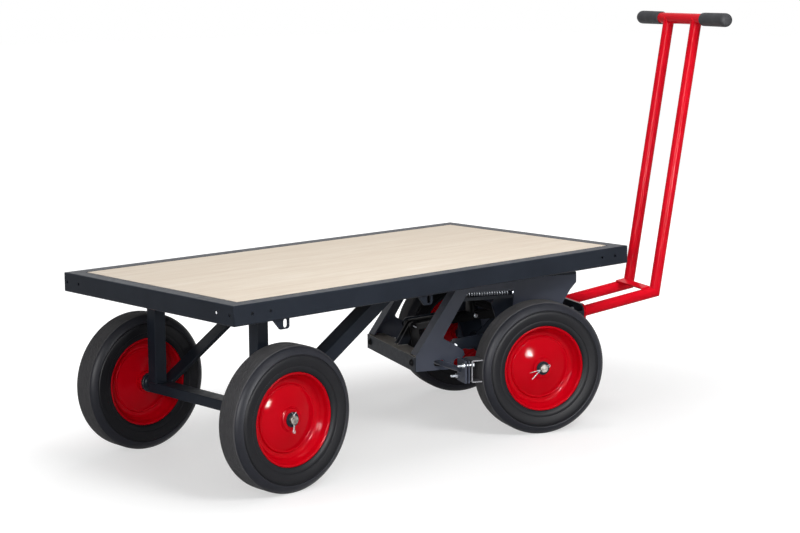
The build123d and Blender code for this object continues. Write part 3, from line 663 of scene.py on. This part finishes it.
lip_half = [
    (110.3, 0),
    (110.3, 7.5),
    (111.0, 10.2),
    (113.6, 13.8),
    (117.2, 18.6),
    (118.8, 21.4),
    (119.8, 24.6),
    (121.0, 29.6),
    (121.9, 32.0),
    (123.2, 34.2),
    (124.6, 35.4),
    (125.8, 35.7),
    (127.0, 35.0),
    (127.3, 33.6),
]
disc_outline = [
    (110.4, 9.8),
    (108.8, 7.8),
    (106.9, 5.8),
    (104.4, 4.3),
    (101.0, 3.5),
    (96.0, 3.5),
    (94.2, 3.8),
    (93.2, 5.6),
    (92.3, 7.5),
    (91.3, 8.2),
    (90.1, 7.9),
    (89.0, 7.4),
    (87.6, 7.6),
    (84.0, 9.2),
    (78.0, 11.3),
    (70.0, 13.7),
    (60.0, 16.3),
    (50.0, 18.5),
    (40.0, 20.4),
    (34.0, 21.4),
    (30.0, 22.0),
]
back_outline = [(radius, -along) for radius, along in disc_outline]
hub_outline = [
    (30.8, -41),
    (30.8, 25.6),
    (29.6, 27),
    (17.5, 27),
    (17.5, 24),
    (26, 24),
    (26, -40),
    (17.5, -40),
    (17.5, -42),
    (29.8, -42),
]
hub_weld_line = [(32.4 * c, 23.0, 32.4 * s) for c, s in ring(6)]
seal_outline = [(12.6, 24.6), (17.3, 24.6), (17.3, 26.4), (16, 26.8), (12.6, 26.8)]

tyre_master = turn("tyre_master", both_faces(tyre_half), steps=128)
zone = tyre_master.data.attributes.new("zone", "FLOAT", "POINT")
for vertex, mark in zip(tyre_master.data.vertices, zone.data):
    radius = Vector((vertex.co.x, vertex.co.z)).length / MM
    mark.value = TREAD if radius > TREAD_RADIUS else SHOULDER if radius > SHOULDER_RADIUS else WALL
rim_master = join(
    "rim_master",
    turn_sheet("rim_master", both_faces(lip_half), thickness=2.6),
    turn_sheet("disc", disc_outline, thickness=2.8),
    turn_sheet("back_disc", back_outline, thickness=2.8),
    turn("hub", hub_outline, steps=48),
    draw_wire("hub_weld", hub_weld_line, radius=1.8, closed=True, ripple=0.25),
)
seal_master = turn("seal_master", seal_outline, steps=40)
for end, (frame_place, _, (along, up), track) in AXLES.items():
    for name, side in SIDES:
        wheel = f"{end}_{name}"
        place = frame_place @ place_at(along, side * track / 2, up) @ facing(side)
        for master, label, slot, node in (
            (tyre_master, "pneumatic_tyre", "tyre_rubber", "tyre"),
            (rim_master, "pressed_rim", "red_paint", "rim"),
            (seal_master, "bearing_seal", "bare_steel", "bearings"),
        ):
            piece = copy_of(master, f"{label}_{wheel}")
            finish_piece(piece, place, f"wheel_{wheel}", slot)
            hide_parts(f"{node}_{wheel}")
for master in (tyre_master, rim_master, seal_master):
    bpy.data.objects.remove(master)

# Split pins through the axle ends: round eye at one end, the two legs spread at the other.
# Points are (along the pin, across it).
PIN_OUT = 35
PIN_WIRE = 0.95
pin_eye = ((0, 1), (-2.4, 3), (-5, 3.8), (-7.8, 2.9), (-9, 1))
pin_shapes = {
    "rear": {
        "eye_start": -27,
        "first_leg": [(13, 1), (16, 2.4), (21, 6.5)],
        "second_leg": [(13, -1), (15, -2.2), (20, -9)],
    },
    "front": {
        "eye_start": -13,
        "first_leg": [(13, 1), (17, 1.6), (30, 3.9), (47, 7)],
        "second_leg": [(13, -1), (17, -2), (30, -7.4), (47, -14)],
    },
}
pin_aims = {
    "rear": Matrix.Rotation(0, 4, "Z") @ Matrix.Rotation(radians(-90), 4, "Y"),
    "front": Matrix.Rotation(pi, 4, "Z") @ Matrix.Rotation(radians(21), 4, "Y"),
}


def split_pin(name, eye_start, first_leg, second_leg):
    eye = [(eye_start + along, across) for along, across in pin_eye]
    far_eye = [(along, -across) for along, across in reversed(eye)]
    line = [*reversed(first_leg), (0, 1), *eye, *far_eye, (0, -1), *second_leg]
    return draw_wire(name, [(along, 0, across) for along, across in line], PIN_WIRE)


for end, (frame_place, body, (along, up), track) in AXLES.items():
    for name, side in SIDES:
        pin = split_pin(f"split_pin_{end}_{name}", **pin_shapes[end])
        place = frame_place @ place_at(along, side * (track / 2 + PIN_OUT), up) @ pin_aims[end]
        finish_piece(pin, place, body, "zinc", look=pin_wire)

# Painted sleeves over the axles between the frame and the hubs
necks = {
    "rear": [
        (17.5, 252),
        (18.6, 252),
        (18.6, 279),
        (20.5, 280.8),
        (27.4, 280.8),
        (28.5, 282),
        (28.5, 288.6),
        (27.6, 289.8),
        (17.5, 289.8),
    ],
    "front": [(20.6, 203.6), (21.6, 203.6), (21.6, 273), (20.6, 274.2)],
}
for end, (frame_place, body, (along, up), _) in AXLES.items():
    for name, side in SIDES:
        neck = turn(f"{end}_axle_neck_{name}", necks[end], steps=48)
        place = frame_place @ (place_at(along, 0, up) @ facing(side))
        finish_piece(neck, place, body, "frame_paint")

# Return springs: hook, close coil, hook, on one wire between the pegs
TURNS = 18
TURN_POINTS = 12
HOOK_LENGTH = 15
HOOK_RADIUS = 6.85
COIL_RADIUS = 6.2
SPRING_WIRE = 1.6
HOOK_ANGLES = (300, 270, 225, 180, 135, 95)
span = Vector((SPRING_FRONT[0] - SPRING_REAR[0], 0, SPRING_FRONT[1] - SPRING_REAR[1])).length
coil_length = span - 2 * HOOK_LENGTH
hook_rear = [
    (0, HOOK_RADIUS * sin(radians(angle)), HOOK_RADIUS * cos(radians(angle)))
    for angle in HOOK_ANGLES
]
hook_front = [(0, y, span - z) for _, y, z in reversed(hook_rear)]
coil_points = TURN_POINTS * TURNS
coil_line = []
for k in range(coil_points + 1):
    angle = 2 * pi * (0.25 + k / TURN_POINTS)
    height = HOOK_LENGTH + coil_length * k / coil_points
    coil_line.append((COIL_RADIUS * cos(angle), COIL_RADIUS * sin(angle), height))
spring_master = draw_wire("spring_master", hook_rear + coil_line + hook_front, SPRING_WIRE)
for name, side in SIDES:
    spring = copy_of(spring_master, f"tension_spring_{name}")
    rear_peg = Vector((SPRING_REAR[0], side * SPRING_OUT, SPRING_REAR[1])) * MM
    front_peg = Vector((SPRING_FRONT[0], side * SPRING_OUT, SPRING_FRONT[1])) * MM
    forward = (front_peg - rear_peg).normalized()
    across = Vector((0, 1, 0))
    turned = Matrix((across, forward.cross(across), forward)).transposed().to_4x4()
    place = BOGIE @ Matrix.Translation(rear_peg) @ turned
    finish_piece(spring, place, "bogie", "zinc", look=spring_wire)
    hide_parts(f"return_spring_{name}")
    spring.parent = None
    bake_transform(spring)
bpy.data.objects.remove(spring_master)

# Handle: each side one bent tube, mitred at its corner
low_way = Vector((HANDLE_CORNER[0] - HANDLE_START[0], 0, HANDLE_CORNER[1] - HANDLE_START[1]))
up_way = Vector((HANDLE_TOP[0] - HANDLE_CORNER[0], 0, HANDLE_TOP[1] - HANDLE_CORNER[1]))
low_unit = low_way.normalized()
up_unit = up_way.normalized()
mitre = low_unit + up_unit
TUBE_END = BASE_PLATE + 0.2


# A straight tube, longer than its way by what is named before and after, left in edit mode
def straight_tube(name, start, way, out, before, after):
    unit = way.normalized()
    first = Vector((start[0], out, start[1])) - unit * before
    last = Vector((start[0], out, start[1])) + way + unit * after
    bpy.ops.object.select_all(action="DESELECT")
    bpy.ops.mesh.primitive_cylinder_add(
        vertices=40,
        radius=HANDLE_TUBE * MM,
        depth=(last - first).length * MM,
        end_fill_type="NGON",
        location=(first + last) / 2 * MM,
        rotation=unit.to_track_quat("Z", "Y").to_euler(),
    )
    bpy.ops.object.transform_apply(location=True, rotation=True, scale=True)
    return edit_piece(name)


for name, side in SIDES:
    out = side * HANDLE_GAUGE
    corner = Vector((HANDLE_CORNER[0], out, HANDLE_CORNER[1])) * MM
    lower = straight_tube("lower", HANDLE_START, low_way, out, before=10, after=40)
    bpy.ops.mesh.bisect(plane_co=corner, plane_no=mitre, clear_outer=True)
    bpy.ops.mesh.select_all(action="SELECT")
    bpy.ops.mesh.bisect(
        plane_co=(TUBE_END * MM, 0, 0),
        plane_no=(-1, 0, 0),
        use_fill=True,
        clear_outer=True,
    )
    bpy.ops.object.mode_set(mode="OBJECT")
    upper = straight_tube("upper", HANDLE_CORNER, up_way, out, before=40, after=-4)
    bpy.ops.mesh.bisect(plane_co=corner, plane_no=mitre, clear_inner=True)
    bpy.ops.object.mode_set(mode="OBJECT")
    tube = join(f"handle_tube_{name}", lower, upper)
    edit_piece(tube.name)
    close_up(MITRE_MERGE)
    finish_piece(tube, BOGIE, "drawbar", "red_paint", look=handle_red_painted_lighter)
    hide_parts(f"handle_lower_tube_{name}", f"handle_upright_{name}")

# Weld beads of the handle: round the crossbar joints and at the base plate
SADDLE_DROP = 0.6
FOOT_PLANE = BASE_PLATE + 1.2
across_tube = up_unit.cross(Vector((0, 1, 0)))
foot_height = HANDLE_START[1] + (FOOT_PLANE - HANDLE_START[0]) * low_unit.z / low_unit.x
for name, side in SIDES:
    out = side * HANDLE_GAUGE
    top = Vector((HANDLE_TOP[0], out, HANDLE_TOP[1]))
    saddle = []
    for c, s in ring(6):
        rim_point = top + Vector((0, HANDLE_TUBE * c, 0)) + across_tube * (HANDLE_TUBE * s)
        saddle.append(rim_point - up_unit * (HANDLE_TUBE * abs(c) + SADDLE_DROP))
    foot = [
        (FOOT_PLANE, out + HANDLE_TUBE * c, foot_height + HANDLE_TUBE * s / low_unit.x)
        for c, s in ring(8)
    ]
    for label, line, radius, ripple in (
        ("crossbar_weld", saddle, 2.1, 0.2),
        ("base_plate_weld", foot, 2.4, 0.25),
    ):
        bead = draw_wire(f"{label}_{name}", line, radius, closed=True, ripple=ripple)
        finish_piece(bead, BOGIE, "drawbar", "red_paint", look=handle_red_painted_lighter)

# Grips: a little taper, a rounded end
grip_outline = [
    (17.6, 133.1),
    (20.0, 133.1),
    (20.8, 134.1),
    (21.0, 142),
    (21.2, 190),
    (21.4, 240),
    (21.4, 259),
    (20.8, 265),
    (18.8, 270),
    (15.2, 273.2),
    (10.0, 274.8),
    (4.0, 275.4),
    (0, 275.5),
    (0, 255.1),
    (17.6, 255.1),
]
grip_master = turn("grip_master", grip_outline, steps=56)
for name, side in SIDES:
    grip = copy_of(grip_master, f"rubber_grip_{name}")
    place = BOGIE @ place_at(HANDLE_TOP[0], 0, HANDLE_TOP[1]) @ facing(side)
    finish_piece(grip, place, "drawbar", "grip_rubber")
    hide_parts(f"grip_{name}")
bpy.data.objects.remove(grip_master)

# Bolts: threaded brake shoe studs with nut and head, domed channel bolts, and small heads on the
# rocker, the tie bars and the spring pegs
THREAD_TURNS = 17
THREAD_PITCH = 1.25
THREAD_CREST = 4
THREAD_ROOT = 3.4
ROOT_OFFSET = 0.62
SHOE_BOLT_OUT = 25
SHOE_BOLT_UP = 20


def hexagon(name, radius, height, middle):
    bpy.ops.object.select_all(action="DESELECT")
    bpy.ops.mesh.primitive_cylinder_add(
        vertices=6,
        radius=radius * MM,
        depth=height * MM,
        location=(0, middle * MM, 0),
        rotation=(pi / 2, 0, 0),
    )
    piece = edit_piece(name)
    bpy.ops.mesh.bevel(offset=0.8 * MM, segments=2, affect="EDGES")
    bpy.ops.object.mode_set(mode="OBJECT")
    bpy.ops.object.transform_apply(location=True, rotation=True, scale=True)
    return piece


stud_outline = [(THREAD_CREST, 24)]
for k in range(THREAD_TURNS):
    stud_outline.append((THREAD_CREST, -THREAD_PITCH * k))
    stud_outline.append((THREAD_ROOT, -ROOT_OFFSET - THREAD_PITCH * k))
stud_outline += [(THREAD_CREST, -21), (3.2, -22), (0, -22), (0, 24)]
stud_master = join(
    "stud_master",
    turn("stud", stud_outline, steps=20),
    hexagon("nut", radius=7.2, height=6.4, middle=-3.2),
    hexagon("head", radius=7.2, height=5.2, middle=27.1),
)
for name, side in SIDES:
    for label, end in (("upper", 1), ("lower", -1)):
        bolt = copy_of(stud_master, f"brake_shoe_bolt_{label}_{name}")
        out = side * (FRONT_TRACK / 2 + end * SHOE_BOLT_OUT)
        at = place_at(SHOE_PLATE, out, SHOE_MIDDLE + end * SHOE_BOLT_UP)
        finish_piece(bolt, BOGIE @ at @ Matrix.Rotation(-pi / 2, 4, "Z"), "brake", "zinc")
        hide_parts("brake_shoe_bolts")
bpy.data.objects.remove(stud_master)

dome_outline = [
    (0, 8.2),
    (3.4, 7.9),
    (6.4, 6.6),
    (8.6, 4.4),
    (9.6, 1.9),
    (11.4, 1.7),
    (11.7, 0.9),
    (11.7, -0.4),
    (0, -0.4),
]
bolt_master = join(
    "bolt_master",
    turn("dome_head", dome_outline, steps=32),
    turn("shank", [(6, 0), (6, -24), (5, -25), (0, -25), (0, 0)], steps=24),
    hexagon("channel_nut", radius=10.8, height=9.6, middle=-14.8),
)
for name, side in SIDES:
    bolt = copy_of(bolt_master, f"channel_bolt_{name}")
    along, out, up = CHANNEL_BOLT
    place = BOGIE @ place_at(along, side * out, up) @ Matrix.Rotation(pi / 2, 4, "Z")
    finish_piece(bolt, place, "bogie", "black_bolts")
    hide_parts("channel_bolts")
bpy.data.objects.remove(bolt_master)

head_outline = [
    (0, 4.8),
    (4.0, 4.8),
    (5.0, 4.1),
    (5.3, 3.0),
    (5.3, 1.2),
    (6.5, 1.1),
    (6.7, 0.7),
    (6.7, -0.2),
    (0, -0.2),
]
head_master = turn("head_master", head_outline, steps=24)
for name, side in SIDES:
    for label, body, (along, out, up) in (
        ("rocker_bolt", "brake", ROCKER_BOLT),
        ("tie_bar_bolt", "bogie", TIE_BAR_BOLT),
        ("spring_peg_cap", "drawbar", SPRING_PEG_CAP),
    ):
        cap = copy_of(head_master, f"{label}_{name}")
        finish_piece(cap, BOGIE @ place_at(along, side * out, up) @ facing(side), body, "zinc")
bpy.data.objects.remove(head_master)

# Clips through the ends of the brake pivot pin
clip_line = [(-5.5, 0, 3.2), (-2, 0, 1.2), (2, 0, -1.2), (5.5, 0, -3.2)]
for name, side in SIDES:
    clip = draw_wire(f"pivot_clip_{name}", clip_line, radius=1.9)
    along, out, up = PIVOT_PIN_END
    finish_piece(clip, BOGIE @ place_at(along, side * out, up), "bogie", "zinc")

# Weld beads round the feet of the rear posts: a square with its corners cut
POST_HALF = 19.4
CORNER_CUT = 0.76
for name, side in SIDES:
    along, out, up = POST_FOOT
    loop = []
    for c, s in ring(5):
        reach = POST_HALF / max(abs(c), abs(s), CORNER_CUT)
        loop.append((along + c * reach, side * out + s * reach, up))
    bead = draw_wire(f"post_weld_{name}", loop, radius=2.2, closed=True, ripple=0.25)
    finish_piece(bead, TRUCK, "chassis", "frame_paint")


# Studio: a white room and a pale floor, both brighter to the eye than the light they give
def seen_directly(tree):
    path = tree.nodes.new("ShaderNodeLightPath")
    rays = path.outputs
    seen = combined(tree, "MAXIMUM", rays["Is Camera Ray"], rays["Is Glossy Ray"])
    return combined(tree, "MAXIMUM", seen, rays["Is Transmission Ray"])


# The floor's own glow is weaker round the truck, so that the shadows stay visible
def pale_floor():
    material, tree, shader = new_finish("studio_floor")
    colour = tint(tree, noise(tree, scale=3, detail=2), ((0.3, grey(0.49)), (0.7, grey(0.51))))
    tree.links.new(colour, shader.inputs["Base Color"])
    shader.inputs["Roughness"].default_value = 0.9
    shader.inputs["Specular IOR Level"].default_value = 0
    place = tree.nodes.new("ShaderNodeTexCoord")
    pool = tree.nodes.new("ShaderNodeMapping")
    pool.inputs["Scale"].default_value = (0.6, 1, 1)
    away = tree.nodes.new("ShaderNodeVectorMath")
    away.operation = "LENGTH"
    tree.links.new(place.outputs["Object"], pool.inputs["Vector"])
    tree.links.new(pool.outputs["Vector"], away.inputs[0])
    fade = spread(tree, away.outputs["Value"], (0.5, 1.2), (0.51, 0.9), smooth=True)
    glow = tree.nodes.new("ShaderNodeEmission")
    glow.inputs["Color"].default_value = (*WHITE, 1)
    strength = combined(tree, "MULTIPLY", seen_directly(tree), fade)
    tree.links.new(strength, glow.inputs["Strength"])
    both = tree.nodes.new("ShaderNodeAddShader")
    tree.links.new(shader.outputs["BSDF"], both.inputs[0])
    tree.links.new(glow.outputs["Emission"], both.inputs[1])
    tree.links.new(both.outputs["Shader"], tree.nodes["Material Output"].inputs["Surface"])
    return material


def white_room():
    world = bpy.data.worlds.new("studio")
    world.use_nodes = True
    tree = world.node_tree
    background = tree.nodes["Background"]
    background.inputs["Color"].default_value = (*WHITE, 1)
    strength = spread(tree, seen_directly(tree), (0, 1), (0.25, 1))
    tree.links.new(strength, background.inputs["Strength"])
    return world


def add_light(name, place, aim, size, power, only_shine=False, no_shine=False):
    bpy.ops.object.select_all(action="DESELECT")
    bpy.ops.object.light_add(type="AREA", location=place)
    lamp = bpy.context.object
    lamp.name = name
    lamp.data.shape = "RECTANGLE"
    lamp.data.size, lamp.data.size_y = size
    lamp.data.energy = power
    lamp.rotation_euler = (Vector(aim) - Vector(place)).to_track_quat("-Z", "Y").to_euler()
    lamp.visible_diffuse = not only_shine
    lamp.visible_glossy = not no_shine


bpy.ops.object.select_all(action="DESELECT")
bpy.ops.mesh.primitive_plane_add(size=60, location=(0, 0, 0))
floor = bpy.context.object
floor.name = "studio_floor"
floor.data.materials.append(pale_floor())
bpy.context.scene.world = white_room()

# Soft lamps
DECK_AIM = (0, 0, 0.4)
add_light("side_softbox", (-3.6, -2.6, 2.3), aim=(0, 0, 0.45), size=(2.0, 2.0), power=22)
add_light("camera_fill", (-4.2, -3.4, 1.45), aim=DECK_AIM, size=(1.2, 1.0), power=68)
add_light("back_softbox", (3.4, 3.4, 2.6), DECK_AIM, size=(2.0, 2.0), power=40, no_shine=True)
add_light("front_softbox", (-0.3, -2.7, 2.6), aim=(0.7, -0.3, 0.9), size=(1.5, 1.5), power=67)
add_light("top_softbox", (-0.3, -0.3, 3.6), aim=(-0.3, -0.1, 0.45), size=(1.6, 1.6), power=34)

# Small lamps that only show as highlights in the paint, the rubber and the metal
WHEEL_AIM = (0, 0, 0.3)
STRIP = (0.22, 1.6)
add_light("spark_lamp", (-0.6, -3.1, 0.7), WHEEL_AIM, size=(0.4, 0.4), power=180, only_shine=True)
add_light("streak_lamp", (-4.5, -3.0, 1.5), WHEEL_AIM, size=STRIP, power=240, only_shine=True)
add_light("edge_lamp", (-4.9, -2.2, 1.5), WHEEL_AIM, size=STRIP, power=200, only_shine=True)

# Camera
CAMERA_PLACE = (-3.868728, -4.019660, 1.35906)
YAW, PITCH, ROLL = radians(42.812), radians(8.828), radians(-0.331)
bpy.ops.object.camera_add(location=CAMERA_PLACE)
camera = bpy.context.object
forward = Vector((sin(YAW) * cos(PITCH), cos(YAW) * cos(PITCH), -sin(PITCH)))
right = forward.cross(Vector((0, 0, 1))).normalized()
upward = right.cross(forward)
rolled_right = right * cos(ROLL) + upward * sin(ROLL)
rolled_up = upward * cos(ROLL) - right * sin(ROLL)
view = Matrix((rolled_right, rolled_up, -forward)).transposed().to_4x4()
view.translation = camera.location
camera.matrix_world = view
camera.data.lens = 84.05
camera.data.sensor_width = 36
bpy.context.scene.camera = camera
bpy.context.scene.view_settings.view_transform = "Standard"
